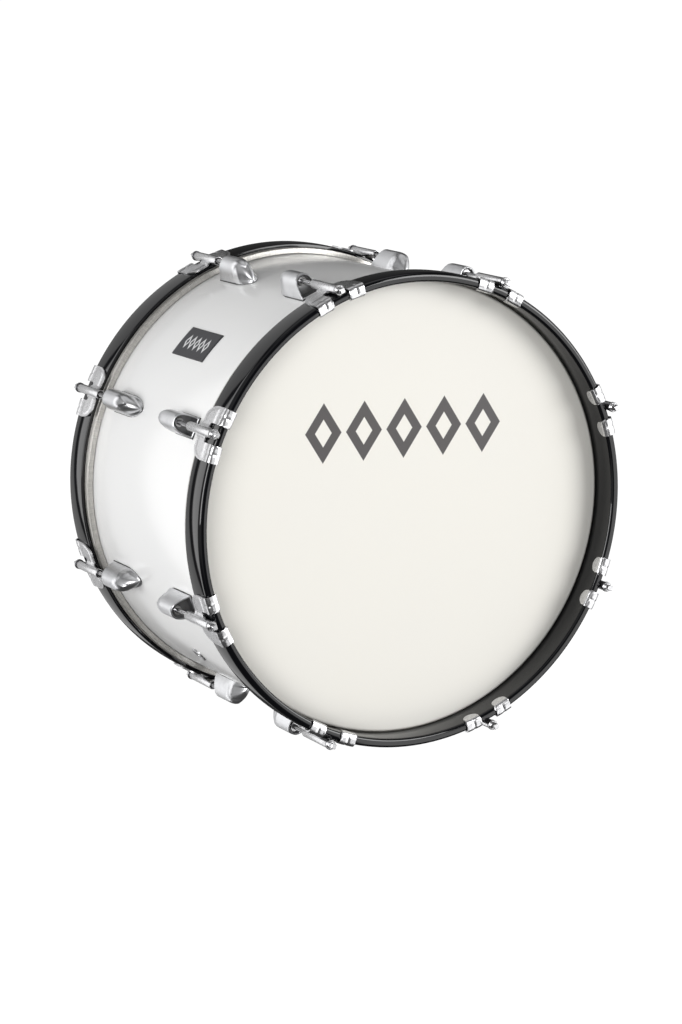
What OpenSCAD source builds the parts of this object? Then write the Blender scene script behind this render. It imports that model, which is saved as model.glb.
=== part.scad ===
// Bass drum: covered shell, two tuned heads, hoops, claws, tension rods and lugs.
// The drum's axis lies along Y, the front head faces -Y and the hoops stand on Z = 0.

/* [Shell] */
// Depth of the shell between its bearing edges
shell_len = 305; // [280:1:355]
// Outside diameter of the covered shell
shell_d = 554.8; // [500:0.2:610]
// Thickness of the ply shell
ply_t = 7; // [6:0.5:9]
// Thickness of the glued cover
wrap_t = 0.9; // [0.5:0.1:1.2]

/* [Hoops] */
// Width of a hoop along the drum's axis
hoop_w = 38; // [34:1:42]
// Radial thickness of a hoop
hoop_t = 12; // [10:0.5:14]
// How far the head stands in front of the back edge of its hoop
head_step = 2.7; // [2:0.1:3.5]

/* [Tension rods] */
// Thread diameter
rod_d = 6; // [5:0.5:7]
// Across the flats of the square key head
key_af = 6.35; // [6:0.05:7]
// Height of the rod's axis above the hoop
rod_over_hoop = 6; // [5.8:0.1:8]

/* [Lugs] */
// Length of a lug along the drum
lug_len = 70; // [66:1:82]
// Width of a lug
lug_w = 26; // [24:1:30]
// Height of a lug above the shell
lug_h = 27.5; // [27:0.5:30]
// Wall thickness of the casting
lug_wall = 2; // [1.5:0.1:2.4]

/* [Claws] */
// Distance across the two hooks of a claw
claw_w = 66; // [60:1:70]
// Width of one hook
hook_w = 21; // [17:0.5:22]
// Thickness of the pressed plate
claw_t = 1.8; // [1.5:0.1:2]

/* [Trim] */
// Length of the badge plate along the drum
badge_l = 84; // [60:1:90]
// Height of the badge plate round the shell
badge_h = 42; // [30:1:50]
// Radius of the air hole through the vent grommet
vent_r = 6; // [4:0.5:8]

/* [Hidden] */
count = 8;
step_angle = 360 / count;
first_angle = step_angle / 2;
$fn = 96;
round_fn = 180;
big = 400;

// Shell and heads
shell_r = shell_d / 2;
ply_r = shell_r - wrap_t;
ply_in_r = ply_r - ply_t;
half_len = shell_len / 2;
edge_round = 3;
edge_flat = 0.5;
wrap_setback = 4;
film_t = 0.25;
film_gap = 0.1;
film_round = 4;
collar_len = 6.2;
film_lip = 4;

// Hoops and flesh hoops
hoop_in_r = shell_r + 0.6;
hoop_r = hoop_in_r + hoop_t;
hoop_back = half_len - head_step;
hoop_front = hoop_back + hoop_w;
hoop_round = 2.5;
hoop_in_round = 1.5;
crown_r = 150;
flesh_in_r = shell_r + 0.8;
flesh_t = 6.8;
flesh_w = 10;
flesh_groove = 0.35;

// Rods and nuts: heights along the axis, from the middle of the drum
rod_r = rod_d / 2;
rod_circle = hoop_r + rod_over_hoop;
barrel_r = 5.5;
barrel_front = hoop_front + 1;
barrel_len = 61;
barrel_back = barrel_front - barrel_len;
barrel_bore = rod_r + 0.4;
barrel_mouth_r = 4.5;
barrel_mouth_len = 30;
washer_r = 6.2;
washer_t = 1.5;
collar_r = 6.3;
collar_t = 2.6;
boss_r = 4.9;
boss_t = 1.6;
key_h = 6;
rod_len = 114;
fit = 0.05;
nut_r = 5.5;
nut_flange_r = 6.6;
nut_flange_t = 3.5;
nut_tail = 8.5;
nut_nose = 7;
keeper_t = 0.8;

// Lugs
gasket_t = 0.8;
gasket_rim = 0.6;
lug_mouth = hoop_front - 77;
lug_straight = 41;
lug_nose = lug_len - lug_straight;
lug_tip = 3;
crown_spare = 2;
nose_spare = 2;
blunt_r = 25;
lug_base = shell_r + gasket_t;
mouth_lean = 20;
bulkhead_back = lug_mouth - 18.8;
bulkhead_t = 6;
floor_t = 2;
screw_r = 2;
screw_len = 18.5;
screw_head_r = 3.5;
screw_head_t = 2.6;
screw_washer_r = 6;
screw_washer_t = 1;
boss_post_r = 4.3;
rib_t = 2;
screw_spots = [[lug_mouth - 27, 10.6], [lug_mouth - 53, 13]];

// Trim: turns from the top of the drum
badge_angle = 313;
vent_angle = 225;
plate_t = 1.15;
plate_gap = 0.05;

// Claws
claw_gap = 0.1;
claw_in = hoop_r + claw_gap;
bridge_back = hoop_back - 3.5;
bridge_front = hoop_front - 18;
shoulder_r = 18;
notch_r = 2.7;
tab_len = 11;

// Stands a part made about +Z, with the front head up, in the drum's own frame.
module stand() {
  translate([0, 0, hoop_r]) rotate([90, 0, 0]) children();
}

// The rear half repeats the front half in a mirror.
module side(front) {
  if (front) children();
  else mirror([0, 0, 1]) children();
}

// Turns +X to an angle measured from the top of the drum towards +X.
module at_angle(t) {
  rotate([0, 0, 90 - t]) children();
}

module at_place(k) {
  at_angle(first_angle + (k - 1) * step_angle) children();
}

module each_place() {
  for (k = [1:count]) at_place(k) children();
}

// An outline drawn across and along the drum, pushed outward from r0 to r1.
module outward(r0, r1) {
  translate([r0, 0, 0]) rotate([90, 0, 90]) linear_extrude(r1 - r0) children();
}

module tube(r_out, r_in, z0, z1) {
  translate([0, 0, z0]) difference() {
    cylinder(r = r_out, h = z1 - z0);
    translate([0, 0, -1]) cylinder(r = r_in, h = z1 - z0 + 2);
  }
}

module span(x0, x1, y0, y1) {
  translate([x0, y0]) square([x1 - x0, y1 - y0]);
}

// ---- shell ----

module ply_half_profile() {
  difference() {
    union() {
      span(ply_in_r, ply_r, 0, half_len - edge_round);
      span(ply_in_r, ply_r - edge_round, 0, half_len);
      translate([ply_r - edge_round, half_len - edge_round]) circle(r = edge_round);
    }
    translate([ply_r - edge_round - edge_flat, half_len])
      rotate(45) translate([-20, -0.001]) square([20, 20]);
  }
}

module shell_holes() {
  for (front = [true, false])
    side(front) each_place()
      for (spot = screw_spots)
        translate([ply_in_r - 5, 0, spot[0]]) rotate([0, 90, 0]) cylinder(r = screw_r + 0.2, h = 20);
  vent_place() cylinder(r = vent_r + 1.6, h = big);
}

module vent_place() {
  at_angle(vent_angle) rotate([0, 90, 0]) children();
}

module shell() {
  color("burlywood") stand() difference() {
    rotate_extrude($fn = round_fn) {
      ply_half_profile();
      mirror([0, 1]) ply_half_profile();
    }
    shell_holes();
  }
}

module shell_wrap() {
  color("white") stand() difference() {
    tube(shell_r, ply_r, -half_len + wrap_setback, half_len - wrap_setback, $fn = round_fn);
    shell_holes();
  }
}

// ---- heads ----

module film_outline(r, top) {
  span(0, r, half_len - collar_len, top - film_round);
  span(0, r - film_round, half_len - collar_len, top);
  intersection() {
    translate([r - film_round, top - film_round]) circle(r = film_round);
    span(0, r, top - film_round - 0.5, top + 1);
  }
}

module head(front) {
  lip_z = half_len - collar_len;
  inner = shell_r + film_gap;
  color("ivory") stand() side(front) rotate_extrude($fn = round_fn) {
    difference() {
      film_outline(inner + film_t, half_len + film_t);
      translate([0, -0.001]) film_outline(inner, half_len);
    }
    span(inner, inner + film_lip, lip_z, lip_z + film_t);
  }
}

module flesh_hoop(front) {
  low = hoop_back - flesh_w;
  lip_z = half_len - collar_len;
  slot = (flesh_groove - film_t) / 2;
  color("silver") stand() side(front) rotate_extrude($fn = round_fn) difference() {
    union() {
      span(flesh_in_r, flesh_in_r + flesh_t - 1, low, hoop_back);
      span(flesh_in_r, flesh_in_r + flesh_t, low + 1, hoop_back - 1);
      translate([flesh_in_r + flesh_t - 1, low + 1]) circle(r = 1);
      translate([flesh_in_r + flesh_t - 1, hoop_back - 1]) circle(r = 1);
    }
    span(0, shell_r + film_gap + film_lip + slot, lip_z - slot, lip_z + film_t + slot);
  }
}

// ---- hoops ----

module hoop_profile() {
  mid = (hoop_back + hoop_front) / 2;
  intersection() {
    union() {
      span(hoop_in_r, hoop_r - hoop_round, hoop_back + hoop_in_round, hoop_front - hoop_in_round);
      span(hoop_in_r + hoop_in_round, hoop_r - hoop_round, hoop_back, hoop_front);
      span(hoop_r - hoop_round - 1, hoop_r, hoop_back + hoop_round, hoop_front - hoop_round);
      for (z = [hoop_back + hoop_round, hoop_front - hoop_round])
        translate([hoop_r - hoop_round, z]) circle(r = hoop_round);
      for (z = [hoop_back + hoop_in_round, hoop_front - hoop_in_round])
        translate([hoop_in_r + hoop_in_round, z]) circle(r = hoop_in_round);
    }
    translate([hoop_r - crown_r, mid]) circle(r = crown_r, $fn = round_fn);
  }
}

module hoop(front) {
  color("black") stand() side(front) rotate_extrude($fn = round_fn) hoop_profile();
}

// ---- claws ----

module hook_pair() {
  for (s = [-1, 1]) translate([s * (claw_w - hook_w) / 2, 0]) children();
}

module plate_outline() {
  half = claw_w / 2;
  difference() {
    union() {
      span(-half + shoulder_r, half - shoulder_r, bridge_back, bridge_front);
      span(-half, half, bridge_back + shoulder_r, bridge_front);
      for (s = [-1, 1])
        translate([s * (half - shoulder_r), bridge_back + shoulder_r]) circle(r = shoulder_r);
      hook_pair() span(-hook_w / 2, hook_w / 2, bridge_front - 2, hoop_front + claw_gap + 0.2);
    }
    for (s = [-1, 1])
      translate([s * (barrel_r + notch_r + 0.3), bridge_front]) circle(r = notch_r);
  }
}

module tab_outline() {
  end_z = hoop_front - tab_len + hook_w / 2;
  hook_pair() {
    span(-hook_w / 2, hook_w / 2, end_z, hoop_front + claw_gap + 0.2);
    translate([0, end_z]) circle(r = hook_w / 2);
  }
}

module ring_patch(r0, r1) {
  rotate([0, 0, -10]) rotate_extrude(angle = 20, $fn = round_fn)
    span(r0, r1, bridge_back - 1, hoop_front + claw_gap + 0.5);
}

// The fold over the hoop's front edge, round at its outer corner.
module hook_fold() {
  low = hoop_front + claw_gap;
  top = low + claw_t;
  outer = claw_in + claw_t;
  inner = hoop_in_r - claw_gap - claw_t;
  rotate([0, 0, -10]) rotate_extrude(angle = 20, $fn = round_fn) {
    span(inner + claw_t, outer - claw_t, low, top);
    intersection() {
      translate([outer - claw_t, low]) circle(r = claw_t);
      span(outer - claw_t, outer, low - 0.5, top);
    }
    intersection() {
      translate([inner + claw_t, low]) circle(r = claw_t);
      span(inner, inner + claw_t, low - 0.5, top);
    }
  }
}

module claw_body() {
  intersection() {
    ring_patch(claw_in, claw_in + claw_t);
    outward(claw_in - 10, claw_in + 10) plate_outline();
  }
  intersection() {
    ring_patch(hoop_in_r - claw_gap - claw_t, hoop_in_r - claw_gap);
    outward(hoop_in_r - 10, hoop_in_r + 5) tab_outline();
  }
  intersection() {
    hook_fold();
    outward(hoop_in_r - 10, claw_in + 10)
      hook_pair() span(-hook_w / 2, hook_w / 2, hoop_front - 2, hoop_front + 5);
  }
  translate([rod_circle, 0, barrel_back]) cylinder(r = barrel_r, h = barrel_len);
  outward(claw_in + 0.2, rod_circle - barrel_r / 2)
    span(-barrel_r + 1, barrel_r - 1, bridge_back + 1, bridge_front);
}

module claw(front, k) {
  color("gainsboro") stand() side(front) at_place(k) difference() {
    claw_body();
    translate([rod_circle, 0, barrel_back - 1]) cylinder(r = barrel_bore, h = barrel_len + 2);
    translate([rod_circle, 0, barrel_back - 1]) cylinder(r = barrel_mouth_r, h = barrel_mouth_len);
  }
}

// ---- rods ----

module rod(front, k) {
  seat = barrel_front + washer_t;
  key_z = seat + collar_t + boss_t;
  color("silver") stand() side(front) at_place(k) translate([rod_circle, 0, 0]) {
    translate([0, 0, seat - rod_len]) cylinder(r = rod_r, h = rod_len + 1);
    translate([0, 0, seat]) cylinder(r = collar_r, h = collar_t);
    translate([0, 0, seat + collar_t - 0.5]) cylinder(r = boss_r, h = boss_t + 0.5);
    translate([-key_af / 2, -key_af / 2, key_z - 0.5]) cube([key_af, key_af, key_h + 0.5]);
  }
}

module rod_washers(front) {
  color("dimgray") stand() side(front) each_place() translate([rod_circle, 0, 0])
    tube(washer_r, barrel_bore, barrel_front, barrel_front + washer_t);
}

// ---- lugs ----

// Plan of a lug: straight from the mouth, then two arcs to a blunt nose. It runs past the mouth by over.
module lug_plan(inset, over) {
  half = lug_w / 2 - inset;
  start = lug_mouth - lug_straight;
  lens = lug_nose + nose_spare;
  bow = (lens * lens + lug_w * lug_w / 4) / lug_w;
  span(-half, half, start, lug_mouth + over);
  intersection() {
    translate([bow - lug_w / 2, start]) circle(r = bow - inset, $fn = round_fn);
    translate([lug_w / 2 - bow, start]) circle(r = bow - inset, $fn = round_fn);
    translate([0, start - lug_nose + blunt_r]) circle(r = blunt_r - inset);
    span(-half, half, start - lens - 1, start + 1);
  }
}

// Side view, drawn with height across and length along.
// One arc cuts down through the crown to the nose.
module lug_side(inset, over) {
  start = lug_mouth - lug_straight;
  top = lug_h + crown_spare;
  drop = top - lug_tip;
  arc_r = (lug_nose * lug_nose + drop * drop) / (2 * drop);
  difference() {
    union() {
      span(-over, top - inset, start, lug_mouth + over);
      intersection() {
        translate([top - arc_r, start]) circle(r = arc_r - inset, $fn = round_fn);
        span(-over, top - inset, start - lug_nose - nose_spare, start + 1);
      }
    }
    if (over == 0)
      translate([gasket_t, lug_mouth]) rotate(mouth_lean) translate([-lug_h, 0]) square([3 * lug_h, lug_h]);
  }
}

module lug_arch(inset, over) {
  half = lug_w / 2 - inset;
  span(-over, lug_h - lug_w / 2, -half, half);
  translate([lug_h - lug_w / 2, 0]) circle(r = half);
}

module lug_form(inset, over) {
  intersection() {
    outward(lug_base - over, shell_r + lug_h + 2) lug_plan(inset, over + 3);
    translate([shell_r, lug_w, 0]) rotate([90, 0, 0]) linear_extrude(2 * lug_w) lug_side(inset, over);
    translate([shell_r, 0, 0]) linear_extrude(lug_mouth + over + 5) lug_arch(inset, over + 1);
  }
}

// The bulkhead that takes the pull of the nut, the floor of the mouth, and two ribbed screw posts.
module lug_inside() {
  translate([lug_base, -lug_w, bulkhead_back]) cube([lug_h, 2 * lug_w, bulkhead_t]);
  translate([lug_base, -lug_w, bulkhead_back]) cube([floor_t, 2 * lug_w, 2 * lug_straight]);
  for (spot = screw_spots) {
    translate([lug_base, 0, spot[0]]) rotate([0, 90, 0]) cylinder(r = boss_post_r, h = spot[1]);
    translate([lug_base, -lug_w, spot[0] - rib_t / 2]) cube([spot[1], 2 * lug_w, rib_t]);
  }
}

module lug() {
  difference() {
    union() {
      difference() {
        lug_form(0, 0);
        lug_form(lug_wall, 3);
      }
      intersection() {
        lug_form(lug_wall / 2, 0);
        lug_inside();
      }
    }
    translate([rod_circle, 0, bulkhead_back - 1]) cylinder(r = nut_r + 0.4, h = bulkhead_t + 2);
    for (spot = screw_spots)
      translate([shell_r - 1, 0, spot[0]]) rotate([0, 90, 0]) cylinder(r = screw_r + fit, h = spot[1]);
  }
}

module lugs(front) {
  color("lightgray") stand() side(front) each_place() lug();
}

module lug_gaskets() {
  color("dimgray") stand() for (front = [true, false]) side(front) each_place() difference() {
    outward(shell_r, lug_base) lug_plan(-gasket_rim, gasket_rim);
    for (spot = screw_spots)
      translate([shell_r - 3, 0, spot[0]]) rotate([0, 90, 0]) cylinder(r = screw_r + 0.3, h = 8);
  }
}

module swivel_nuts() {
  color("darkgray") stand() for (front = [true, false]) side(front) each_place()
    translate([rod_circle, 0, bulkhead_back]) difference() {
      union() {
        cylinder(r = nut_r, h = nut_nose);
        translate([0, 0, -nut_flange_t]) cylinder(r = nut_flange_r, h = nut_flange_t);
        translate([0, 0, -nut_flange_t - nut_tail]) cylinder(r = nut_r, h = nut_tail + 1);
      }
      translate([0, 0, -30]) cylinder(r = rod_r + fit, h = 60);
    }
}

module nut_keepers() {
  color("whitesmoke") stand() for (front = [true, false]) side(front) each_place()
    translate([rod_circle, 0, 0])
      tube(nut_r + keeper_t, nut_r, bulkhead_back - nut_flange_t - 6, bulkhead_back - nut_flange_t);
}

module lug_screws() {
  color("silver") stand() for (front = [true, false]) side(front) each_place()
    for (spot = screw_spots) translate([0, 0, spot[0]]) rotate([0, 90, 0]) {
      translate([0, 0, ply_in_r - 0.2 - screw_washer_t]) cylinder(r = screw_r, h = screw_len);
      translate([0, 0, ply_in_r - 0.2 - screw_washer_t - screw_head_t])
        cylinder(r = screw_head_r, h = screw_head_t);
    }
}

module lug_screw_washers() {
  color("silver") stand() for (front = [true, false]) side(front) each_place()
    for (spot = screw_spots) translate([0, 0, spot[0]]) rotate([0, 90, 0])
      tube(screw_washer_r, screw_r + 0.2, ply_in_r - 0.2 - screw_washer_t, ply_in_r - 0.2);
}

// ---- trim ----

module badge() {
  half_angle = badge_h / 2 / shell_r * 180 / PI;
  color("black") stand() at_angle(badge_angle) rotate([0, 0, -half_angle])
    rotate_extrude(angle = 2 * half_angle, $fn = round_fn)
      span(shell_r + plate_gap, shell_r + plate_gap + plate_t, -badge_l / 2, badge_l / 2);
}

module vent_grommet() {
  color("silver") stand() vent_place() {
    tube(vent_r + 1.5, vent_r, ply_in_r - 4, shell_r + 1);
    tube(vent_r + 5, vent_r, shell_r + 0.05, shell_r + 1.6);
  }
}

module vent_nut() {
  color("silver") stand() vent_place() tube(vent_r + 5, vent_r + 1.5, ply_in_r - 3.2, ply_in_r - 0.3);
}

shell();
shell_wrap();
hoop(true);  // front_hoop
hoop(false);  // rear_hoop
flesh_hoop(true);  // front_flesh_hoop
flesh_hoop(false);  // rear_flesh_hoop
head(true);  // front_head
head(false);  // rear_head
lugs(true);  // front_lugs
lugs(false);  // rear_lugs
lug_gaskets();
swivel_nuts();
nut_keepers();
lug_screws();
lug_screw_washers();
rod_washers(true);  // front_rod_washers
rod_washers(false);  // rear_rod_washers
badge();
vent_grommet();
vent_nut();
for (k = [1:count]) {
  claw(true, k);
  claw(false, k);
  rod(true, k);
  rod(false, k);
}
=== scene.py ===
import math

import bpy
import bmesh
from mathutils import Matrix, Vector


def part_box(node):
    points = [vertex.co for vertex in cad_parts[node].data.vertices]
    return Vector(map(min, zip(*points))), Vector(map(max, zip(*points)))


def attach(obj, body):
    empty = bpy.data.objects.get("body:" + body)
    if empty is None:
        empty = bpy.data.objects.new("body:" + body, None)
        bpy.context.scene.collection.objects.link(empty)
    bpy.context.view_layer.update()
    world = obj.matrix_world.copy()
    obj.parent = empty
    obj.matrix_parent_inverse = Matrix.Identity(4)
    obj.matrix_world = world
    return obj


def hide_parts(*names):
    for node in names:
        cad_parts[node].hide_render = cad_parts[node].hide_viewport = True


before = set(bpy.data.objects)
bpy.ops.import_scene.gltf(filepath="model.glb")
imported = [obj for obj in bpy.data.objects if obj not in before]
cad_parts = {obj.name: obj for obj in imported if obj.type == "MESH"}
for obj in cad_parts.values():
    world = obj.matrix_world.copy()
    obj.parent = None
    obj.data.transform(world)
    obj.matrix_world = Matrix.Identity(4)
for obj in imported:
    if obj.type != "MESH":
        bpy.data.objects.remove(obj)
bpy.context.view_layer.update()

# radii and heights in metres, and distances along the axis from the drum's middle towards one end
hoopLow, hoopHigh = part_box("front_hoop")
hoopR = (hoopHigh.x - hoopLow.x) / 2
axisZ = (hoopHigh.z + hoopLow.z) / 2
hoopBack, hoopFront = -hoopHigh.y, -hoopLow.y
wrapLow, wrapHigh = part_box("shell_wrap")
wrapR = (wrapHigh.x - wrapLow.x) / 2
wrapHalf = wrapHigh.y
fleshLow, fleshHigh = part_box("front_flesh_hoop")
fleshR = (fleshHigh.x - fleshLow.x) / 2
fleshBack, fleshFront = -fleshHigh.y, -fleshLow.y
headLow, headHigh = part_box("front_head")
headR = (headHigh.x - headLow.x) / 2
filmFace = -headLow.y
rodLow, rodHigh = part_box("front_rod_1")
rodMid = (rodLow + rodHigh) / 2
rodCircle = math.hypot(rodMid.x, rodMid.z - axisZ)
rodEnd = -rodLow.y
lugLow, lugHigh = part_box("front_lugs")
lugNose, lugMouth = -lugHigh.y, -lugLow.y
washerLow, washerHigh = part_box("front_rod_washers")
washerBack, washerFront = -washerHigh.y, -washerLow.y

places = 8  # lugs, claws and rods at each end
firstAngle = 180 / places  # degrees from the top to the first of them
sideWords = ((True, "front"), (False, "rear"))


def sideMatrix(front, degrees=0.0):
    # local x points out from the axis, y round the drum, z along the axis away from the middle
    turn = math.radians(degrees)
    out = Vector((math.sin(turn), 0, math.cos(turn)))
    along = Vector((0, -1, 0)) if front else Vector((0, 1, 0))
    around = along.cross(out)
    matrix = Matrix((out, around, along)).transposed().to_4x4()
    matrix.translation = Vector((0, 0, axisZ))
    return matrix


def placeMatrix(front, k):
    return sideMatrix(front, firstAngle + (k - 1) * 360 / places)


class Value:
    # a socket that takes part in sums, so that shader maths reads as plain expressions
    def __init__(self, surface, socket):
        self.surface = surface
        self.socket = socket

    def maths(self, operation, *others):
        return self.surface.node("ShaderNodeMath", {"operation": operation}, dict(enumerate((self, *others))))

    def swapped(self, operation, other):
        return self.surface.node("ShaderNodeMath", {"operation": operation}, {0: other, 1: self})

    def __add__(self, other):
        return self.maths("ADD", other)

    def __radd__(self, other):
        return self.swapped("ADD", other)

    def __sub__(self, other):
        return self.maths("SUBTRACT", other)

    def __rsub__(self, other):
        return self.swapped("SUBTRACT", other)

    def __mul__(self, other):
        return self.maths("MULTIPLY", other)

    def __rmul__(self, other):
        return self.swapped("MULTIPLY", other)

    def __truediv__(self, other):
        return self.maths("DIVIDE", other)

    def __rtruediv__(self, other):
        return self.swapped("DIVIDE", other)

    def __mod__(self, other):
        return self.maths("FLOORED_MODULO", other)

    def __rmod__(self, other):
        return self.swapped("FLOORED_MODULO", other)

    def __abs__(self):
        return self.maths("ABSOLUTE")


class Surface:
    # the node tree of one finish, or of the world when it is handed in as holder
    def __init__(self, name, holder=None):
        self.material = holder or bpy.data.materials.new(name)
        self.material.use_nodes = True
        self.tree = self.material.node_tree
        self.tree.nodes.clear()
        self.spot = 0

    def node(self, kind, settings=None, sockets=None, out=0):
        made = self.tree.nodes.new(kind)
        made.location = (self.spot * 40, -(self.spot % 7) * 160)  # staggered, to be read in the editor
        self.spot += 1
        for key, value in (settings or {}).items():
            setattr(made, key, value)
        for key, value in (sockets or {}).items():
            if isinstance(value, Value):
                self.tree.links.new(value.socket, made.inputs[key])
            else:
                made.inputs[key].default_value = value
        return Value(self, made.outputs[out])

    def place(self):
        return self.node("ShaderNodeTexCoord", out="Object")

    def parts(self, vector):
        split = self.node("ShaderNodeSeparateXYZ", {}, {0: vector})
        return [Value(self, output) for output in split.socket.node.outputs]

    def join(self, x, y, z):
        return self.node("ShaderNodeCombineXYZ", {}, {0: x, 1: y, 2: z})

    def noise(self, vector, scale, detail=2.0, rough=0.5):
        sockets = {"Vector": vector, "Scale": scale, "Detail": detail, "Roughness": rough}
        return self.node("ShaderNodeTexNoise", {}, sockets)

    def scaled(self, vector, amounts):
        return self.node("ShaderNodeVectorMath", {"operation": "MULTIPLY"}, {0: vector, 1: amounts})

    def ramp(self, value, low, high):
        sockets = {"Value": value, "From Min": low, "From Max": high}
        return self.node("ShaderNodeMapRange", {"interpolation_type": "SMOOTHSTEP"}, sockets)

    def bump(self, height, strength, distance):
        sockets = {"Height": height, "Strength": strength, "Distance": distance}
        return self.node("ShaderNodeBump", {}, sockets)

    def wrapped(self, vector):
        # angle round the drum from its top, distance along its axis, and radius
        x, y, z = self.parts(vector)
        up = z - axisZ
        angle = x.maths("ARCTAN2", up)
        radius = (x * x + up * up).maths("SQRT")
        return angle, y, radius

    def tint(self, share, base, other):
        # from one colour to another, each a plain colour or a link
        first, last = [end if isinstance(end, Value) else (*end, 1) for end in (base, other)]
        return self.node("ShaderNodeMix", {"data_type": "RGBA"}, {0: share, 6: first, 7: last}, out=2)

    def shown(self, shader, output="ShaderNodeOutputMaterial"):
        end = self.tree.nodes.new(output)
        self.tree.links.new(shader.socket, end.inputs["Surface"])
        return self.material

    def finished(self, sockets):
        return self.shown(self.node("ShaderNodeBsdfPrincipled", {}, sockets))


def shaded(colour, share):
    return tuple(c * share for c in colour)


def smooth(t):
    # eases from 0 to 1
    t = min(1.0, max(0.0, t))
    return t * t * (3 - 2 * t)


def arc(cx, cy, radius, start, end, steps):
    turns = [math.radians(start + (end - start) * i / steps) for i in range(steps + 1)]
    return [(cx + radius * math.cos(a), cy + radius * math.sin(a)) for a in turns]


def loopGrid(loops):
    # loops of equal length, each a closed ring of points, skinned one to the next and closed at both ends
    count = len(loops[0])
    verts = [Vector(p) for ring in loops for p in ring]
    faces = []
    for i in range(len(loops) - 1):
        for j in range(count):
            k = (j + 1) % count
            faces.append((i * count + j, i * count + k, (i + 1) * count + k, (i + 1) * count + j))
    for ring, flip in ((0, True), (len(loops) - 1, False)):
        centre = sum((Vector(p) for p in loops[ring]), Vector()) / count
        verts.append(centre)
        tip = len(verts) - 1
        for j in range(count):
            a, b = ring * count + j, ring * count + (j + 1) % count
            faces.append((b, a, tip) if flip else (a, b, tip))
    return verts, faces


def lathe(outline, segments, centre=(0.0, 0.0)):
    # a closed outline of (radius, z) points, turned once about the local z axis through centre
    rings = []
    for i in range(segments):
        turn = math.radians(360.0 * i / segments)
        c, s = math.cos(turn), math.sin(turn)
        rings.append([(centre[0] + r * c, centre[1] + r * s, z) for r, z in outline])
    count = len(outline)
    verts = [Vector(p) for ring in rings for p in ring]
    faces = []
    for i in range(segments):
        n = (i + 1) % segments
        for j in range(count):
            k = (j + 1) % count
            faces.append((i * count + j, n * count + j, n * count + k, i * count + k))
    return verts, faces


def joined(*shapes):
    verts, faces = [], []
    for shapeVerts, shapeFaces in shapes:
        start = len(verts)
        verts += shapeVerts
        faces += [tuple(i + start for i in face) for face in shapeFaces]
    return verts, faces


def moved(shape, matrix):
    verts, faces = shape
    return [matrix @ v for v in verts], faces


def meshObject(name, shape, lift=False):
    # welds the points and turns every face outwards; lift makes the outermost face of a sheet look out
    verts, faces = shape
    mesh = bpy.data.meshes.new(name)
    mesh.from_pydata(verts, [], faces)
    work = bmesh.new()
    work.from_mesh(mesh)
    bmesh.ops.remove_doubles(work, verts=work.verts, dist=1e-6)
    bmesh.ops.recalc_face_normals(work, faces=work.faces)
    if lift:
        lead = max(work.faces, key=lambda face: face.calc_center_median().x)
        if lead.normal.x < 0:
            bmesh.ops.reverse_faces(work, faces=work.faces)
    work.to_mesh(mesh)
    work.free()
    made = bpy.data.objects.new(name, mesh)
    bpy.context.scene.collection.objects.link(made)
    return made


def piece(name, shape, material, body, nodes, sharp=35.0):
    made = meshObject(name, shape)
    made.data.shade_smooth()
    made.data.set_sharp_from_angle(angle=math.radians(sharp))
    made.data.materials.append(material)
    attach(made, body)
    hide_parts(*nodes)
    return made


def thickened(name, shape, thick, rim):
    # gives a pressed sheet its thickness and soft edges
    made = meshObject(name, shape, lift=True)
    solid = made.modifiers.new("thickness", "SOLIDIFY")
    solid.thickness = thick
    solid.offset = 1
    soft = made.modifiers.new("soft edge", "BEVEL")
    soft.width = rim
    soft.segments = 2
    soft.limit_method = "ANGLE"
    soft.angle_limit = math.radians(50)
    bpy.context.view_layer.update()
    graph = bpy.context.evaluated_depsgraph_get()
    done = made.evaluated_get(graph).to_mesh()
    result = ([v.co.copy() for v in done.vertices], [tuple(p.vertices) for p in done.polygons])
    made.evaluated_get(graph).to_mesh_clear()
    bpy.data.objects.remove(made)
    return result


def dress(material, *nodes):
    # a CAD part that keeps its shape gets a finish
    for node in nodes:
        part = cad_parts[node]
        part.data.materials.clear()
        part.data.materials.append(material)


# smudge and grain are noise scales, and wear is how much they add to the roughness
chromeLook = {"colour": (0.66, 0.66, 0.67), "rough": 0.25, "wear": 0.10, "smudge": 160.0, "grain": 700.0,
              "bump": 0.22}
castLook = {"colour": (0.74, 0.745, 0.76), "rough": 0.3, "wear": 0.08, "smudge": 45.0, "grain": 420.0,
            "bump": 0.05}
# the inside of a lug is a rougher, unpolished casting, and its dark colour is painted shade in the lug's
# hollow
castInsidePaintedShadeLook = {"colour": (0.27, 0.27, 0.275), "rough": 0.45, "wear": 0.2, "smudge": 90.0, "grain": 300.0,
                  "bump": 0.5}
steelLook = {"colour": (0.62, 0.62, 0.63), "rough": 0.2, "wear": 0.14, "smudge": 60.0, "grain": 700.0,
             "bump": 0.15}
darkSteelLook = {"colour": (0.10, 0.10, 0.11), "rough": 0.32, "wear": 0.15, "smudge": 70.0, "grain": 800.0,
                 "bump": 0.15}


def metalFinish(name, look):
    surface = Surface(name)
    place = surface.place()
    smudge = surface.noise(place, look["smudge"], 4.0, 0.6)
    grain = surface.noise(place, look["grain"], 3.0, 0.55)
    scratch = surface.noise(surface.scaled(place, (1.0, 9.0, 1.0)), look["grain"] * 0.35, 2.0)
    dirt = surface.ramp(smudge, 0.45, 0.75)
    return surface.finished({
        "Base Color": surface.tint(dirt * 0.6, look["colour"], shaded(look["colour"], 0.82)), "Metallic": 1.0,
        "Roughness": look["rough"] + dirt * look["wear"] + grain * look["wear"] * 0.5,
        "Normal": surface.bump(grain * 0.5 + scratch * 0.5, look["bump"], 0.0002)})


hoopLook = {"colour": (0.0022, 0.0024, 0.0034), "dust": (0.008, 0.008, 0.009), "rough": 0.035, "wear": 0.04,
            "streak": 340.0}


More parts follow.
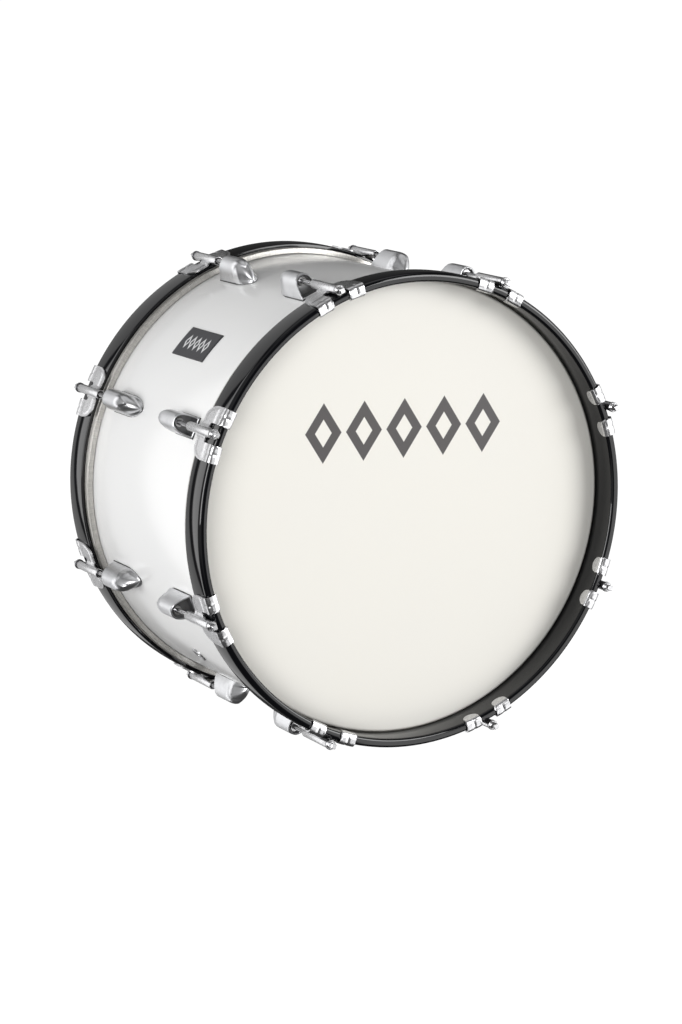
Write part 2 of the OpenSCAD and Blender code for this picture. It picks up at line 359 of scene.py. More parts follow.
def hoopFinish(look):
    surface = Surface("hoop black gloss")
    angle, along, radius = surface.wrapped(surface.place())
    ring = surface.join(angle * 6.0, along * look["streak"], radius * look["streak"])
    streak = surface.noise(ring, 1.0, 3.0)
    cloud = surface.noise(surface.place(), 14.0, 3.0)
    dust = surface.ramp(cloud, 0.62, 0.85) * 0.35
    return surface.finished({
        "Base Color": surface.tint(dust, look["colour"], look["dust"]), "IOR": 1.5,
        "Roughness": look["rough"] + surface.ramp(cloud, 0.5, 0.8) * look["wear"] + streak * 0.015,
        "Normal": surface.bump(streak, 0.05, 0.0003)})


wrapLook = {"colour": (0.86, 0.86, 0.855), "cloud": (0.83, 0.835, 0.84), "fleck": (0.72, 0.72, 0.72),
            "rough": 0.16}


def wrapFinish(look):
    surface = Surface("white cover")
    place = surface.place()
    peel = surface.noise(place, 110.0, 2.0)
    fleck = surface.noise(place, 1500.0, 1.0)
    cloud = surface.noise(place, 5.0, 2.0)
    colour = surface.tint(surface.ramp(cloud, 0.35, 0.75) * 0.5, look["colour"], look["cloud"])
    colour = surface.tint(surface.ramp(fleck, 0.66, 0.72) * 0.25, colour, look["fleck"])
    return surface.finished({
        "Base Color": colour, "Roughness": look["rough"] + cloud * 0.06, "IOR": 1.49,
        "Normal": surface.bump(peel, 0.05, 0.0006)})


# a plain row of lozenges is printed on the front head, and a small one on the badge
printLook = {"count": 5, "pitch": 0.055, "halfWidth": 0.0245, "halfHeight": 0.0365, "hole": 0.46, "up": 0.098,
             "ink": (0.075, 0.068, 0.068)}


def lozenges(surface, across, up, look, edge):
    half = look["count"] * look["pitch"] / 2
    cell = (across + half) % look["pitch"] - look["pitch"] / 2
    reach = abs(cell) / look["halfWidth"] + abs(up) / look["halfHeight"]
    solid = 1 - surface.ramp(reach, 1 - edge, 1 + edge)
    hole = 1 - surface.ramp(reach, look["hole"] - edge, look["hole"] + edge)
    inside = 1 - surface.ramp(abs(across), half - 0.0005, half)
    return solid * (1 - hole) * inside


# edge is the film's colour at its rim, darker and greyer: painted shade beside the hoop
filmLook = {"colour": (0.875, 0.855, 0.795), "edge": (0.80, 0.79, 0.75), "cloud": (0.86, 0.845, 0.80),
            "fleck": (0.76, 0.74, 0.68), "rough": 0.42, "rimShadeFrom": 0.235, "rimShadeTo": 0.279}


def filmFinish(name, look, printed):
    surface = Surface(name)
    place = surface.place()
    x, y, z = surface.parts(place)
    angle, along, radius = surface.wrapped(place)
    cloud = surface.noise(place, 6.0, 3.0)
    tooth = surface.noise(place, 2600.0, 2.0)
    fleck = surface.noise(place, 380.0, 2.0, 0.7)
    # darker and greyer towards the rim: painted shade where the hoop stands over the film
    rim = surface.ramp(radius, look["rimShadeFrom"], look["rimShadeTo"])
    colour = surface.tint(rim * 0.55, look["colour"], look["edge"])
    colour = surface.tint(surface.ramp(cloud, 0.4, 0.8) * 0.35, colour, look["cloud"])
    colour = surface.tint(surface.ramp(fleck, 0.7, 0.8) * 0.25, colour, look["fleck"])
    rough = look["rough"] + cloud * 0.08
    height = tooth * 0.4 + cloud * 0.6
    if printed:
        ink = lozenges(surface, x, z - (axisZ + printLook["up"]), printLook, 0.02)
        colour = surface.tint(ink, colour, printLook["ink"])
        rough = rough - ink * 0.1
        height = height + ink * 0.5
    return surface.finished({
        "Base Color": colour, "Roughness": rough, "IOR": 1.5,
        "Normal": surface.bump(height, 0.06, 0.0003)})


fleshLook = {"colour": (0.66, 0.645, 0.61), "valleyShade": 0.72, "rough": 0.32}


def fleshFinish(look):
    # brush marks run round the hoop, and fainter ones lie slantwise across them
    surface = Surface("brushed flesh hoop")
    angle, along, radius = surface.wrapped(surface.place())
    brush = surface.noise(surface.join(angle * 40.0, along * 2200.0, radius * 2200.0), 1.0, 3.0)
    slant = surface.noise(surface.join(angle * 277.0 + along * 900.0, along * 250.0, radius * 50.0), 0.9, 2.0)
    cloud = surface.noise(surface.place(), 30.0, 3.0)
    tone = brush * 0.5 + slant * 0.5
    valley = shaded(look["colour"], look["valleyShade"])
    return surface.finished({
        "Base Color": surface.tint(surface.ramp(tone, 0.35, 0.7), valley, look["colour"]),
        "Metallic": 0.85, "Roughness": look["rough"] + cloud * 0.15,
        "Normal": surface.bump(tone, 0.25, 0.0002)})


rubberLook = {"colour": (0.05, 0.05, 0.052), "rough": 0.6, "grain": 900.0, "bump": 0.3}
nylonLook = {"colour": (0.72, 0.71, 0.66), "rough": 0.4, "grain": 700.0, "bump": 0.15}


def mouldedFinish(name, look):
    surface = Surface(name)
    place = surface.place()
    grain = surface.noise(place, look["grain"], 3.0)
    cloud = surface.noise(place, look["grain"] * 0.06, 2.0)
    tone = surface.tint(surface.ramp(cloud, 0.4, 0.75) * 0.5, look["colour"], shaded(look["colour"], 0.8))
    return surface.finished({
        "Base Color": tone, "Roughness": look["rough"] + grain * 0.12,
        "Normal": surface.bump(grain, look["bump"], 0.0003)})


plyLook = {"layer": 0.00116, "glue": (0.28, 0.16, 0.08), "dark": (0.50, 0.33, 0.17),
           "light": (0.68, 0.50, 0.30), "rough": 0.5}


def plyFinish(look):
    # layers show at the cut edge, long grain on the faces
    surface = Surface("ply")
    angle, along, radius = surface.wrapped(surface.place())
    grain = surface.noise(surface.join(angle * 8.0, along * 60.0, radius * 900.0), 1.0, 5.0, 0.6)
    layer = (radius / look["layer"]) % 1.0
    line = surface.ramp(abs(layer - 0.5), 0.36, 0.48)
    tone = surface.tint(surface.ramp(grain, 0.35, 0.7), look["dark"], look["light"])
    tone = surface.tint(line * 0.55, tone, look["glue"])
    return surface.finished({
        "Base Color": tone, "Roughness": look["rough"] + grain * 0.2,
        "Normal": surface.bump(grain, 0.2, 0.0004)})


badgeLook = {"count": 5, "pitch": 0.0125, "halfWidth": 0.0057, "halfHeight": 0.0105, "hole": 0.46,
             "angle": 313.0, "plate": (0.038, 0.038, 0.043), "mark": (0.75, 0.75, 0.76)}


def badgeFinish(look):
    surface = Surface("badge plate")
    angle, along, radius = surface.wrapped(surface.place())
    around = (angle - math.radians(look["angle"] - 360)) * wrapR
    mark = lozenges(surface, along, around, look, 0.06)
    grain = surface.noise(surface.join(around * 90.0, along * 4000.0, radius), 1.0, 3.0)
    colour = surface.tint(surface.ramp(grain, 0.3, 0.7), look["plate"], shaded(look["plate"], 1.35))
    colour = surface.tint(mark, colour, look["mark"])
    return surface.finished({
        "Base Color": colour, "Metallic": 0.35, "Roughness": 0.34 + grain * 0.1,
        "Normal": surface.bump(grain, 0.1, 0.0002)})


chrome = metalFinish("claw chrome", chromeLook)
castChrome = metalFinish("cast chrome", castLook)
castInsidePaintedShade = metalFinish("unpolished casting with painted shade", castInsidePaintedShadeLook)
zincSteel = metalFinish("plated steel", steelLook)
darkSteel = metalFinish("dark steel", darkSteelLook)
hoopBlack = hoopFinish(hoopLook)
whiteCover = wrapFinish(wrapLook)
printedFilm = filmFinish("front film", filmLook, True)
plainFilm = filmFinish("rear film", filmLook, False)
brushedFlesh = fleshFinish(fleshLook)
ply = plyFinish(plyLook)
rubber = mouldedFinish("gasket rubber", rubberLook)
nylon = mouldedFinish("nylon", nylonLook)
badgePlate = badgeFinish(badgeLook)
print("finishes made")

roundSteps = 288  # faces round the drum
smallSteps = 40  # faces round a barrel or a washer

dress(ply, "shell")

coverShape = {"thick": 0.0009, "edge": 0.0003}


def coverOutline(shape):
    outer, inner = wrapR, wrapR - shape["thick"]
    e = shape["edge"]
    edge = arc(outer - e, wrapHalf - e, e, 90, 0, 3)
    return [(inner, -wrapHalf), (inner, wrapHalf)] + edge + [(r, -z) for r, z in reversed(edge)]


coverSolid = lathe(coverOutline(coverShape), roundSteps)
piece("shell_cover", moved(coverSolid, sideMatrix(True)), whiteCover, "shell", ["shell_wrap"])

filmShape = {"thick": 0.00025, "corner": 0.004, "collar": 0.0062, "lip": 0.004, "foot": 0.0006, "rings": 14}


def headOutline(shape):
    # flat film, rounded collar, then the skirt that turns out into the flesh hoop
    t, c, rings = shape["thick"], shape["corner"], shape["rings"]
    outer = headR - shape["lip"] + t
    lip = outer + shape["lip"] - t
    top = filmFace
    foot = top - t - shape["collar"]
    face = [((outer - c) * i / rings, top) for i in range(rings)]
    under = [((outer - c) * i / rings, top - t) for i in range(rings)]
    over = face + arc(outer - c, top - c, c, 90, 0, 8) + [(outer, foot + t + shape["foot"])]
    over += [(outer + shape["foot"], foot + t), (lip, foot + t), (lip, foot)]
    back = [(outer - t, foot)] + arc(outer - c, top - c, c - t, 0, 90, 8)
    return over + back + list(reversed(under))


for front, word in sideWords:
    shape = moved(lathe(headOutline(filmShape), roundSteps), sideMatrix(front))
    piece(word + "_film", shape, printedFilm if front else plainFilm, "shell", [word + "_head"])

fleshShape = {"thick": 0.0068, "round": 0.0012, "groove": 0.0005, "bead": 0.0016}


def fleshOutline(shape):
    # a flat band with rounded outer edges and one groove under its front bead
    inner = fleshR - shape["thick"]
    r, g, bead = shape["round"], shape["groove"], fleshFront - shape["bead"]
    top = arc(fleshR - r, fleshFront - r, r, 90, 0, 4)
    foot = arc(fleshR - r, fleshBack + r, r, 0, -90, 4)
    groove = [(fleshR, bead), (fleshR - g, bead - g), (fleshR, bead - 2 * g)]
    return [(inner, fleshBack), (inner, fleshFront)] + top + groove + foot


for front, word in sideWords:
    shape = moved(lathe(fleshOutline(fleshShape), roundSteps), sideMatrix(front))
    piece(word + "_flesh_ring", shape, brushedFlesh, "shell", [word + "_flesh_hoop"])
print("shell, heads and flesh hoops made")

hoopShape = {"thick": 0.012, "frontRound": 0.0042, "backRound": 0.0010, "innerRound": 0.0036, "crown": 0.200}


def hoopOutline(shape):
    # a crowned outer face between a soft front edge and a crisp back one
    mid = (hoopBack + hoopFront) / 2
    half = (hoopFront - hoopBack) / 2
    inner = hoopR - shape["thick"]
    crown = shape["crown"]
    centreR = hoopR - crown

    def corner(r):
        tilt = math.asin((half - r) / (crown - r))
        return centreR + (crown - r) * math.cos(tilt), math.degrees(tilt)

    f, b, i = shape["frontRound"], shape["backRound"], shape["innerRound"]
    frontR, frontTilt = corner(f)
    backR, backTilt = corner(b)
    face = arc(centreR, mid, crown, frontTilt, -backTilt, 16)
    upper = arc(frontR, mid + half - f, f, 90, frontTilt, 8)
    lower = arc(backR, mid - half + b, b, -backTilt, -90, 5)
    inFront = arc(inner + i, hoopFront - i, i, 180, 90, 6)
    inBack = arc(inner + b, hoopBack + b, b, 270, 180, 4)
    return inFront + upper + face[1:-1] + lower + inBack


for front, word in sideWords:
    shape = moved(lathe(hoopOutline(hoopShape), roundSteps), sideMatrix(front))
    piece(word + "_rim", shape, hoopBlack, word + "_hoop_set", [word + "_hoop"])
print("hoops made")

# metres; lean is the mouth's slant in degrees, toe is how deep the nose steps in, and toeAt is where along it
lugShape = {"width": 0.026, "height": 0.0275, "straight": 0.041, "wall": 0.0020, "lean": 20.0, "tip": 0.003,
            "gasket": 0.0008, "bulkhead": 0.0128, "hole": 0.0059, "holeDeep": 0.006, "lip": 0.0006,
            "toe": 0.0020, "toeAt": 0.68, "archSteps": 48, "baseSteps": 8, "noseSteps": 40, "bodySteps": 12,
            "wallSteps": 4}


def lugRing(width, height, low, shape, power):
    # one closed section: up over the arch, then back along the base
    steps, base = shape["archSteps"], shape["baseSteps"]
    points = []
    for i in range(steps + 1):
        turn = math.pi * i / steps
        c, s = math.cos(turn), math.sin(turn)
        across = width * math.copysign(abs(c) ** (2 / power), c)
        up = low + (height - low) * abs(s) ** (2 / power)
        points.append((up, across))
    for i in range(1, base):
        points.append((low, -width + 2 * width * i / base))
    return points


def lugSection(back, shape):
    # half width, height and squareness of the casting; back runs from 0 at the straight body to 1 at the nose
    width = shape["width"] / 2 * max(0.0, 1 - back ** 2.3) ** 0.56
    height = shape["tip"] + (shape["height"] - shape["tip"]) * max(0.0, 1 - back ** 2.4) ** 0.66
    return max(width, 0.0004), max(height, 0.0008), 2.7 - 0.5 * min(1.0, back * 1.4)


def toeStep(ring, back, width, height, shape):
    # the raised back runs to a point, and the nose below it steps in and keeps a rim at the foot
    pulled = []
    for up, across in ring:
        high = up / height
        side = min(1.0, abs(across) * 2 / shape["width"])
        share = smooth((back - shape["toeAt"] * (1 - 0.95 * side)) / 0.07)
        cut = shape["toe"] * share * smooth((high - 0.10) / 0.16) * (0.3 + 0.7 * smooth((back - 0.35) / 0.25))
        inward = min(1.0, abs(across) / width) ** 2 * (1 - high * high)
        pulled.append((max(up - cut * (1 - inward), 0.0), across - math.copysign(cut * inward, across)))
    return pulled


def lugMesh(shape):
    # nose, straight body, slanted mouth, the walls inside it and the bulkhead with its hole
    start = lugMouth - shape["straight"]
    bow = start - lugNose
    foot = wrapR + shape["gasket"]
    slope = math.tan(math.radians(shape["lean"]))
    wall, noseSteps, bodySteps = shape["wall"], shape["noseSteps"], shape["bodySteps"]
    loops = []

    def put(points, z, leanShare=1.0):
        loops.append([(foot + up, across, z - up * slope * leanShare) for up, across in points])

    for i in range(noseSteps + 1):
        back = math.sin((1 - i / noseSteps) * math.pi / 2) ** 0.9
        z = start - bow * min(back, 0.9995)
        width, height, power = lugSection((start - z) / bow, shape)
        put(toeStep(lugRing(width, height, 0.0, shape, power), back, width, height, shape), z, 0.0)
    width, height, power = lugSection(0.0, shape)
    outside = lugRing(width, height, 0.0, shape, power)
    for i in range(1, bodySteps):
        put(outside, start + shape["straight"] * i / bodySteps, smooth(i / bodySteps))
    put(outside, lugMouth - shape["lip"])
    for share in (0.3, 0.7):
        inset = wall * share
        put(lugRing(width - inset, height - inset, inset, shape, power), lugMouth)
    inside = lugRing(width - wall, height - wall, wall, shape, power)
    put(inside, lugMouth - shape["lip"])
    insideFrom = (len(loops) - 1) * len(inside)
    for i in range(1, shape["wallSteps"] + 1):
        share = i / shape["wallSteps"]
        put(inside, lugMouth - shape["bulkhead"] * share, 1 - share)
    centre = rodCircle - foot
    hole = shape["hole"]
    for share, depth in ((0.5, 0.0), (0.9, 0.0), (1.0, 0.0004), (1.0, shape["holeDeep"])):
        ring = []
        for up, across in inside:
            turn = math.atan2(up - centre, across)
            ring.append((up + (centre + hole * math.sin(turn) - up) * share,
                         across + (hole * math.cos(turn) - across) * share))
        put(ring, lugMouth - shape["bulkhead"] - depth, 0.0)
    return loopGrid(loops), insideFrom


lugSolid, insideFrom = lugMesh(lugShape)
for front, word in sideWords:
    shape = joined(*[moved(lugSolid, placeMatrix(front, k)) for k in range(1, places + 1)])
    made = piece(word + "_lug_castings", shape, castChrome, "shell", [word + "_lugs"], sharp=40)
    # the walls and bulkhead inside the mouth take the dark inside finish: painted shade in the hollow of the
    # lug
    made.data.materials.append(castInsidePaintedShade)
    for face in made.data.polygons:
        face.material_index = int(face.index % len(lugSolid[1]) >= insideFrom)
dress(rubber, "lug_gaskets")
dress(zincSteel, "swivel_nuts", "lug_screws", "lug_screw_washers")
dress(nylon, "nut_keepers")
print("lugs made")

# the hooks are the two outer strips, and a notch beside each of them leaves the narrow bridge between
clawShape = {"width": 0.066, "hook": 0.021, "thick": 0.0018, "gap": 0.0001, "back": -0.0035, "bridge": 0.018,
             "shoulderWide": 0.014, "shoulderLong": 0.024, "notchIn": 0.0057, "tab": 0.011,
             "outerBend": 0.0026, "innerBend": 0.0016, "step": 0.0009, "softEdge": 0.00035}
embossShape = {"panel": 0.0005, "panelAt": 0.80, "saddle": 0.0024, "saddleHalf": 0.0088, "fold": 0.0005,
               "foldHalf": 0.0085, "grooveHalf": 0.0021}
barrelShape = {"outer": 0.0055, "bore": 0.0034, "mouth": 0.0045, "mouthLong": 0.030, "long": 0.061,
               "soft": 0.0006}


def clawPath(shape):
    # the inner line of the plate in (radius, z): over the hoop, round the front lip and back inside
    inside = hoopR - hoopShape["thick"] - shape["gap"]
    outside = hoopR + shape["gap"]
    lip = hoopFront + shape["gap"]
    ro, ri = shape["outerBend"], shape["innerBend"]
    step = shape["step"]
    backZ = hoopBack + shape["back"]
    count = int((lip - ro - backZ) / step)
    line = [(outside, backZ + (lip - ro - backZ) * i / count) for i in range(count)]
    line += arc(outside - ro, lip - ro, ro, 0, 90, 6)
    flat = outside - ro - inside - ri
    frontCount = int(flat / step)
    line += [(outside - ro - flat * i / frontCount, lip) for i in range(1, frontCount)]
    line += arc(inside + ri, lip - ri, ri, 90, 180, 5)
    line.append((inside, lip - ri - shape["tab"]))
    lengths = [0.0]
    for a, b in zip(line, line[1:]):
        lengths.append(lengths[-1] + math.hypot(b[0] - a[0], b[1] - a[1]))
    return line, lengths


def pathPoint(path, distance):
    # the point so far along the line, and its outward normal
    line, lengths = path
    last = len(lengths) - 2
    i = next((k for k in range(last) if distance <= lengths[k + 1]), last)
    span = lengths[i + 1] - lengths[i]
    share = (distance - lengths[i]) / span
    (r0, z0), (r1, z1) = line[i], line[i + 1]
    return r0 + (r1 - r0) * share, z0 + (z1 - z0) * share, ((z1 - z0) / span, (r0 - r1) / span)


def clawColumns(shape):
    # places across the plate, closer together beside each notch and towards the sides
    half = shape["width"] / 2
    hookIn = half - shape["hook"]
    stops = [0.0, shape["notchIn"], hookIn, half]
    values = []
    for a, b in zip(stops, stops[1:]):
        count = max(4, round((b - a) / shape["step"]))
        for i in range(count):
            share = i / count
            if b == half:
                share = math.sin(share * math.pi / 2)
            if b == hookIn:
                share = (1 - math.cos(share * math.pi)) / 2
            values.append(a + (b - a) * share)
    values.append(half)
    return [-v for v in reversed(values[1:])] + values


def embossLift(t, u, shape, press):
    # how far the pressing stands up at t across the plate and u along it
    flatX = shape["width"] / 2 - shape["shoulderWide"]
    hookMid = (shape["width"] - shape["hook"]) / 2
    bendU = hoopFront - hoopBack - shape["back"]
    wide = max(abs(t) - flatX, 0) / shape["shoulderWide"]
    deep = max(shape["shoulderLong"] - u, 0) / shape["shoulderLong"]
    panel = press["panel"] * smooth((press["panelAt"] - math.hypot(wide, deep)) / 0.10)
    panel *= smooth((shape["shoulderLong"] + 0.004 - u) / 0.004)
    saddle = smooth((press["saddleHalf"] - abs(t)) / 0.0042)
    saddle *= smooth((bendU - shape["bridge"] + 0.001 - u) / 0.003)
    fold = smooth((press["foldHalf"] - abs(u - bendU)) / 0.0022)
    groove = smooth((press["grooveHalf"] - abs(abs(t) - hookMid)) / 0.0011)
    return panel * (1 - saddle) + saddle * press["saddle"] + fold * (1 - groove) * press["fold"]


def clawPlate(shape):
    path = clawPath(shape)
    half = shape["width"] / 2
    hookHalf = shape["hook"] / 2
    hookIn, hookMid = half - shape["hook"], half - hookHalf
    flatX = half - shape["shoulderWide"]
    bridgeU = hoopFront - shape["bridge"] - (hoopBack + shape["back"])
    notchR = (hookIn - shape["notchIn"]) / 2
    notchMid = (hookIn + shape["notchIn"]) / 2
    innerU = path[1][-1] - shape["tab"]
    columns = clawColumns(shape)
    rowsA, rowsB = 26, 44
    verts, index, faces = [], {}, []
    for c, t in enumerate(columns):
        corner = max(abs(t) - flatX, 0) / shape["shoulderWide"]
        start = shape["shoulderLong"] * (1 - math.sqrt(max(0.0, 1 - corner * corner)))
        inNotch = shape["notchIn"] < abs(t) < hookIn
        bite = math.sqrt(max(0.0, notchR ** 2 - (abs(t) - notchMid) ** 2)) if inNotch else 0
        end = bridgeU - bite
        stations = [start + (end - start) * i / rowsA for i in range(rowsA + 1)]
        if abs(t) >= hookIn - 1e-9:
            share = max(0.0, 1 - ((abs(t) - hookMid) / hookHalf) ** 2)
            tip = innerU + 0.0004 + (shape["tab"] - 0.0004) * math.sqrt(share)
            stations += [end + (tip - end) * i / rowsB for i in range(1, rowsB + 1)]
        for r, u in enumerate(stations):
            radius, z, normal = pathPoint(path, u)
            lift = embossLift(t, u, shape, embossShape)
            radius += normal[0] * lift
            turn = t / hoopR
            index[c, r] = len(verts)
            verts.append(Vector((radius * math.cos(turn), radius * math.sin(turn), z + normal[1] * lift)))
    for c in range(len(columns) - 1):
        for r in range(rowsA + rowsB):
            corners = [(c, r), (c + 1, r), (c + 1, r + 1), (c, r + 1)]
            if all(corner in index for corner in corners):
                faces.append(tuple(index[corner] for corner in corners))
    return verts, faces


def barrelOutline(shape):
    # a tube whose bore widens towards the drum's middle
    back = washerBack - shape["long"]
    r, e, wide = shape["outer"], shape["soft"], shape["mouth"]
    outer = arc(r - e, washerBack - e, e, 90, 0, 3) + arc(r - e, back + e, e, 0, -90, 3)
    lip = [(wide + 0.0002, back), (wide, back + 0.0004)]
    deep = back + shape["mouthLong"]
    return [(shape["bore"], washerBack)] + outer + lip + [(wide, deep - 0.0006), (shape["bore"], deep)]


clawSheet = thickened("claw_sheet", clawPlate(clawShape), clawShape["thick"], clawShape["softEdge"])
clawSolid = joined(clawSheet, lathe(barrelOutline(barrelShape), smallSteps, centre=(rodCircle, 0.0)))
for front, word in sideWords:
    for k in range(1, places + 1):
        shape = moved(clawSolid, placeMatrix(front, k))
        piece(f"{word}_claw_hook_{k}", shape, chrome, word + "_hoop_set", [f"{word}_claw_{k}"])
print("claws made")

rodShape = {"threadR": 0.0030, "root": 0.00032, "pitch": 0.001, "threadLong": 0.062, "lead": 0.0016,
            "leadIn": 0.0006, "turnSteps": 20, "collarR": 0.0063, "collar": 0.0026, "bossR": 0.0049,
            "boss": 0.0016, "key": 0.00635, "keySquare": 14.0, "edge": 0.0005, "long": 0.114}


def threadLoops(shape, low, high):
    # rings whose radius follows the thread's spiral, four to a turn, smaller at the tip
    steps = shape["turnSteps"]
    rows = int((high - low) / shape["pitch"]) * 4
    loops = []
    for i in range(rows + 1):
        z = low + (high - low) * i / rows
        leadIn = shape["leadIn"] * (1 - smooth((z - low) / shape["lead"]))
        ring = []
        for j in range(steps):
            share = j / steps
            phase = ((z - low) / shape["pitch"] - share) % 1.0
            groove = abs(phase * 2 - 1)
            radius = shape["threadR"] - shape["root"] * (1 - groove) - leadIn
            turn = 2 * math.pi * share
            ring.append((rodCircle + radius * math.cos(turn), radius * math.sin(turn), z))
        loops.append(ring)
    return loops


def rodMesh(shape):
    # thread, plain shank, round collar and boss, and the square head that a key turns
    seat = washerFront
    low = seat - shape["long"]
    steps = shape["turnSteps"]
    loops = threadLoops(shape, low, low + shape["threadLong"])

    def ring(radius, z, power=2.0):
        points = []
        for j in range(steps):
            turn = 2 * math.pi * j / steps
            c, s = math.cos(turn), math.sin(turn)
            reach = radius / (abs(c) ** power + abs(s) ** power) ** (1 / power)
            points.append((rodCircle + reach * c, reach * s, z))
        loops.append(points)

    for z in (low + shape["threadLong"] + 0.0008, seat - 0.001, seat):
        ring(shape["threadR"], z)
    collarR, bossR, edge = shape["collarR"], shape["bossR"], shape["edge"]
    collarEnd = seat + shape["collar"]
    bossEnd = collarEnd + shape["boss"]
    for radius, z in ((collarR - 0.0003, seat), (collarR, seat + 0.0003), (collarR, collarEnd - 0.0007),
                      (collarR - 0.0007, collarEnd), (bossR + 0.0002, collarEnd), (bossR, collarEnd + 0.0002),
                      (bossR, bossEnd - edge), (bossR - edge, bossEnd)):
        ring(radius, z)
    half = shape["key"] / 2
    for radius, z in ((half, bossEnd), (half, rodEnd - edge), (half - edge, rodEnd)):
        ring(radius, z, shape["keySquare"])
    return loopGrid(loops)


washerShape = {"inner": 0.0034, "outer": 0.0062, "soft": 0.0003}


def washerOutline(shape):
    e = shape["soft"]
    outer = arc(shape["outer"] - e, washerFront - e, e, 90, 0, 3)
    outer += arc(shape["outer"] - e, washerBack + e, e, 0, -90, 3)
    return [(shape["inner"], washerFront)] + outer + [(shape["inner"], washerBack)]


rodSolid = rodMesh(rodShape)
washerSolid = lathe(washerOutline(washerShape), smallSteps, centre=(rodCircle, 0.0))
for front, word in sideWords:
    washers = []
    for k in range(1, places + 1):
        matrix = placeMatrix(front, k)
        shape = moved(rodSolid, matrix)
        piece(f"{word}_tension_rod_{k}", shape, zincSteel, f"{word}_rod_{k}_body",
              [f"{word}_rod_{k}"])
        washers.append(moved(washerSolid, matrix))
    piece(word + "_washers", joined(*washers), darkSteel, word + "_hoop_set",
          [word + "_rod_washers"])
print("rods made")

badgeShape = {"long": 0.084, "high": 0.042, "thick": 0.0011, "gap": 0.00005, "cols": 24, "rows": 16,
              "softEdge": 0.0003}


def badgeSheet(shape):
    # a plate rolled to the shell, x out, y round, z along
    cols, rows = shape["cols"], shape["rows"]
    radius = wrapR + shape["gap"]
    verts, faces = [], []
    for i in range(cols + 1):
        for j in range(rows + 1):
            z = shape["long"] * (i / cols - 0.5)
            turn = shape["high"] * (j / rows - 0.5) / wrapR
            verts.append(Vector((radius * math.cos(turn), radius * math.sin(turn), z)))
    for i in range(cols):
        for j in range(rows):
            a = i * (rows + 1) + j
            faces.append((a, a + rows + 1, a + rows + 2, a + 1))
    return verts, faces


badgeSolid = thickened("badge_sheet", badgeSheet(badgeShape), badgeShape["thick"], badgeShape["softEdge"])
piece("name_plate_blank", moved(badgeSolid, sideMatrix(True, badgeLook["angle"])), badgePlate, "shell",
      ["badge"])

ventShape = {"hole": 0.006, "flange": 0.011, "thick": 0.0016, "tube": 0.0015, "deep": 0.0120, "gap": 0.00005,
             "angle": 225}


def ventMesh(shape):
    # a flanged tube about the local z axis
    r, f, t = shape["hole"], shape["flange"], shape["thick"]
    foot = wrapR + shape["gap"]
    tubeR, inner = r + shape["tube"], wrapR - shape["deep"]
    outline = [(r, wrapR + t * 0.5)] + arc(r + t * 0.5, wrapR + t * 0.5, t * 0.5, 180, 90, 4)
    outline += arc(f - t * 0.6, foot + t * 0.4, t * 0.6, 90, 0, 4)
    outline += [(f, foot), (tubeR, foot), (tubeR, inner), (r, inner)]
    return lathe(outline, 48)


ventTurn = Matrix(((0, 0, 1, 0), (0, 1, 0, 0), (-1, 0, 0, 0), (0, 0, 0, 1)))  # local z becomes outwards
ventPlace = sideMatrix(True, ventShape["angle"]) @ ventTurn
piece("vent_ring", moved(ventMesh(ventShape), ventPlace), chrome, "shell", ["vent_grommet"])
dress(zincSteel, "vent_nut")
print("badge and vent made")

# each panel: degrees from the back towards the left, lowest and highest elevation, and brightness
studio = {"floorSize": 120.0, "floorGlow": 0.36, "floorSeen": 1.14, "floorShare": 0.88, "wallSeen": 1.06,
          "ambient": 0.06, "soft": 1.0, "softTall": 6, "panels": (
              (-14, 22.5, -40, 38, 0.55), (27.5, 52, -45, 40, 1.75), (66, 175, -20, 50, 0.32),
              (-118, -62, -25, 45, 0.8), (-152, -118, -40, 30, 1.9), (-180, 180, 62, 91, 0.6))}


def floorFinish():
    # the floor looks white, and throws back only a little light
    surface = Surface("studio floor")
    cloud = surface.noise(surface.place(), 0.6, 2.0)
    tone = surface.tint(cloud * 0.1, (0.93, 0.93, 0.93), (0.90, 0.90, 0.90))
    seen = surface.node("ShaderNodeLightPath", out="Is Camera Ray")
    diffuse = surface.node("ShaderNodeBsdfDiffuse", {}, {"Color": tone})
    strength = seen * (studio["floorSeen"] - studio["floorGlow"]) + studio["floorGlow"]
    glow = surface.node("ShaderNodeEmission", {}, {"Color": (1, 1, 1, 1), "Strength": strength})
    both = {0: studio["floorShare"], 1: diffuse, 2: glow}
    return surface.shown(surface.node("ShaderNodeMixShader", {}, both))


def makeFloor():
    half = studio["floorSize"] / 2
    mesh = bpy.data.meshes.new("studio_floor")
    corners = [(-half, -half, 0), (half, -half, 0), (half, half, 0), (-half, half, 0)]
    mesh.from_pydata(corners, [], [(0, 1, 2, 3)])
    mesh.materials.append(floorFinish())
    floor = bpy.data.objects.new("studio_floor", mesh)
    floor.visible_glossy = False
    bpy.context.scene.collection.objects.link(floor)


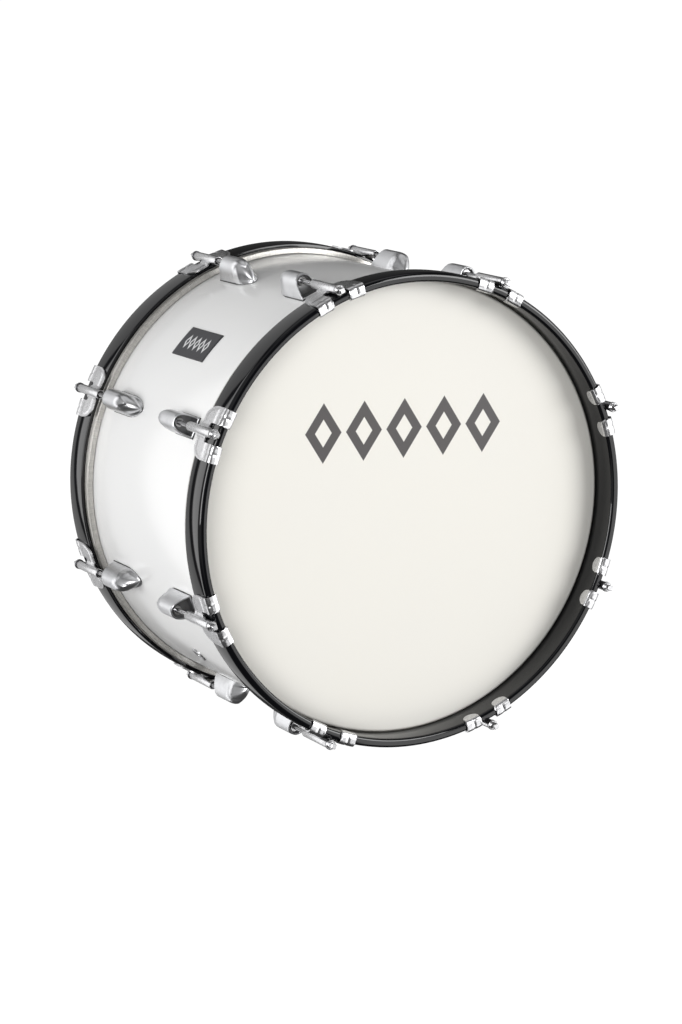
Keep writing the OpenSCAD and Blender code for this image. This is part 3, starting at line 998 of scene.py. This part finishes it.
def makeWalls():
    # soft-edged light panels on a dim sky, which itself looks white
    bpy.context.scene.world = bpy.data.worlds.new("studio")
    room = Surface("studio", bpy.context.scene.world)
    x, y, z = room.parts(room.node("ShaderNodeTexCoord", out="Generated"))
    turn = (x * -1).maths("ARCTAN2", y).maths("DEGREES")
    rise = z.maths("ARCSINE").maths("DEGREES")

    def band(value, low, high, soft):
        return room.ramp(value, low - soft, low + soft) * (1 - room.ramp(value, high - soft, high + soft))

    light = studio["ambient"]
    for left, right, low, high, level in studio["panels"]:
        panel = band(turn, left, right, studio["soft"]) * band(rise, low, high, studio["softTall"])
        light = panel * level + light
    seen = room.node("ShaderNodeLightPath", out="Is Camera Ray")
    light = light * (1 - seen) + seen * studio["wallSeen"]
    sky = room.node("ShaderNodeBackground", {}, {"Color": (1, 1, 1, 1), "Strength": light})
    room.shown(sky, "ShaderNodeOutputWorld")


# x, y and z of each lamp, its width and height, and its power in watts; the side lamp leaves no highlight
lamps = {"key": ((-2.9, -2.6, 0.6), (1.8, 1.8), 72, True),
         "side": ((-3.4, 0.6, 0.5), (1.8, 1.2), 42, False),
         "front": ((2.7, -3.2, 1.2), (2.4, 1.8), 84, True)}
lampTarget = (0, 0, 0.3)


def softbox(name, spot, size, power, glossy):
    data = bpy.data.lights.new(name, "AREA")
    data.shape = "RECTANGLE"
    data.size, data.size_y = size
    data.energy = power
    lamp = bpy.data.objects.new(name, data)
    lamp.location = spot
    lamp.rotation_euler = (Vector(lampTarget) - Vector(spot)).to_track_quat("-Z", "Y").to_euler()
    lamp.visible_glossy = glossy
    bpy.context.scene.collection.objects.link(lamp)


cameraShape = {"spot": (-1.8398, -3.3797, 0.9984), "ahead": (0.46930, 0.86258, -0.18900), "roll": 1.12,
               "lens": 110.0, "sensor": 36.0}


def makeCamera(shape):
    data = bpy.data.cameras.new("studio_camera")
    data.lens = shape["lens"]
    data.sensor_width = shape["sensor"]
    data.clip_end = 200.0
    camera = bpy.data.objects.new("studio_camera", data)
    ahead = Vector(shape["ahead"]).normalized()
    yaw = math.atan2(ahead.x, ahead.y)
    roll = math.radians(shape["roll"])
    flat = Vector((math.cos(yaw), -math.sin(yaw), 0))
    upright = flat.cross(ahead)
    right = flat * math.cos(roll) + upright * math.sin(roll)
    up = upright * math.cos(roll) - flat * math.sin(roll)
    turn = Matrix((right, up, -ahead)).transposed()
    camera.matrix_world = Matrix.Translation(shape["spot"]) @ turn.to_4x4()
    bpy.context.scene.collection.objects.link(camera)
    bpy.context.scene.camera = camera


makeFloor()
makeWalls()
for name, lamp in lamps.items():
    softbox(name, *lamp)
makeCamera(cameraShape)
bpy.context.scene.view_settings.view_transform = "Standard"
print("studio made")
